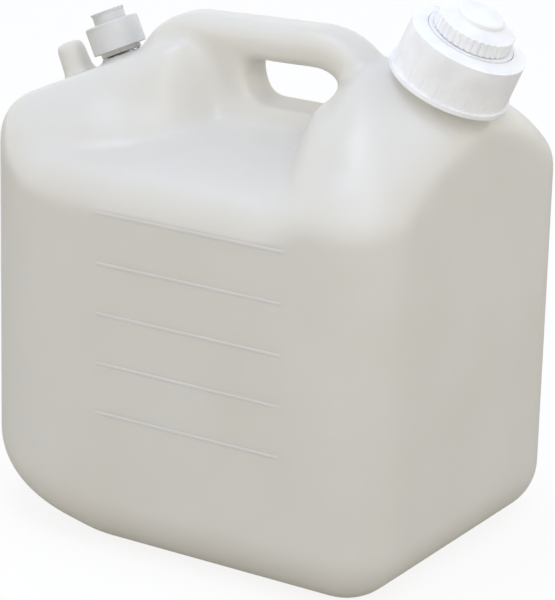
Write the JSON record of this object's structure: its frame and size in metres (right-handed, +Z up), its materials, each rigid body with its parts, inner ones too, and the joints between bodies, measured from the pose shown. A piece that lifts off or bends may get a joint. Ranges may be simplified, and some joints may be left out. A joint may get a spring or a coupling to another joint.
{
  "type": "detergent jerrycan",
  "caption": "Translucent blow-moulded liquid detergent can with a moulded carrying handle, a forward-leaning pouring neck with a two-stage screw closure and a rear vent cap",
  "frame": {"origin": "middle of the footprint of the can, on the floor", "axes": "+X towards the pouring neck, +Y across the can, +Z up"},
  "size_m": [0.2604, 0.1865, 0.2735],
  "materials": {
    "natural_polyethylene": "milky translucent, satin",
    "white_polypropylene": "opaque white, satin",
    "sealing_rubber": "matt"
  },
  "bodies": {
    "can": {"can_body": "natural_polyethylene"},
    "closure": {"pour_spout": "white_polypropylene", "neck_gasket": "sealing_rubber"},
    "collar": {"cap_collar": "white_polypropylene"},
    "spout_plug": {"spout_seal": "sealing_rubber"},
    "spout_knob": {"spout_cap": "white_polypropylene"},
    "vent_plug": {"vent_gasket": "sealing_rubber"},
    "vent_knob": {"vent_cap": "white_polypropylene"}
  },
  "joints": [
    {"name": "closure_lift", "type": "slide", "parent": "can", "child": "closure", "axis": [0.4147, 0, 0.91], "range_m": [0, 0.01999]},
    {"name": "collar_turn", "type": "hinge", "parent": "closure", "child": "collar", "pos_m": [0.1006, 0, 0.2302], "axis": [0.4147, 0, 0.91], "range_deg": [0, 1440]},
    {"name": "spout_lift", "type": "slide", "parent": "closure", "child": "spout_plug", "axis": [0.4147, 0, 0.91], "range_m": [0, 0.00719]},
    {"name": "spout_cap_turn", "type": "hinge", "parent": "spout_plug", "child": "spout_knob", "pos_m": [0.1006, 0, 0.2302], "axis": [0.4147, 0, 0.91], "range_deg": [0, 1080]},
    {"name": "vent_lift", "type": "slide", "parent": "can", "child": "vent_plug", "axis": [-0.4258, 0, 0.9048], "range_m": [0, 0.01199]},
    {"name": "vent_cap_turn", "type": "hinge", "parent": "vent_plug", "child": "vent_knob", "pos_m": [-0.0801, 0, 0.21763], "axis": [-0.4258, 0, 0.9048], "range_deg": [0, 1440]}
  ],
  "couplings": [
    {"joint": "collar_turn", "follows": "closure_lift", "rad_per_m": 1256.6},
    {"joint": "spout_cap_turn", "follows": "spout_lift", "rad_per_m": 2618},
    {"joint": "vent_cap_turn", "follows": "vent_lift", "rad_per_m": 2094.4}
  ]
}
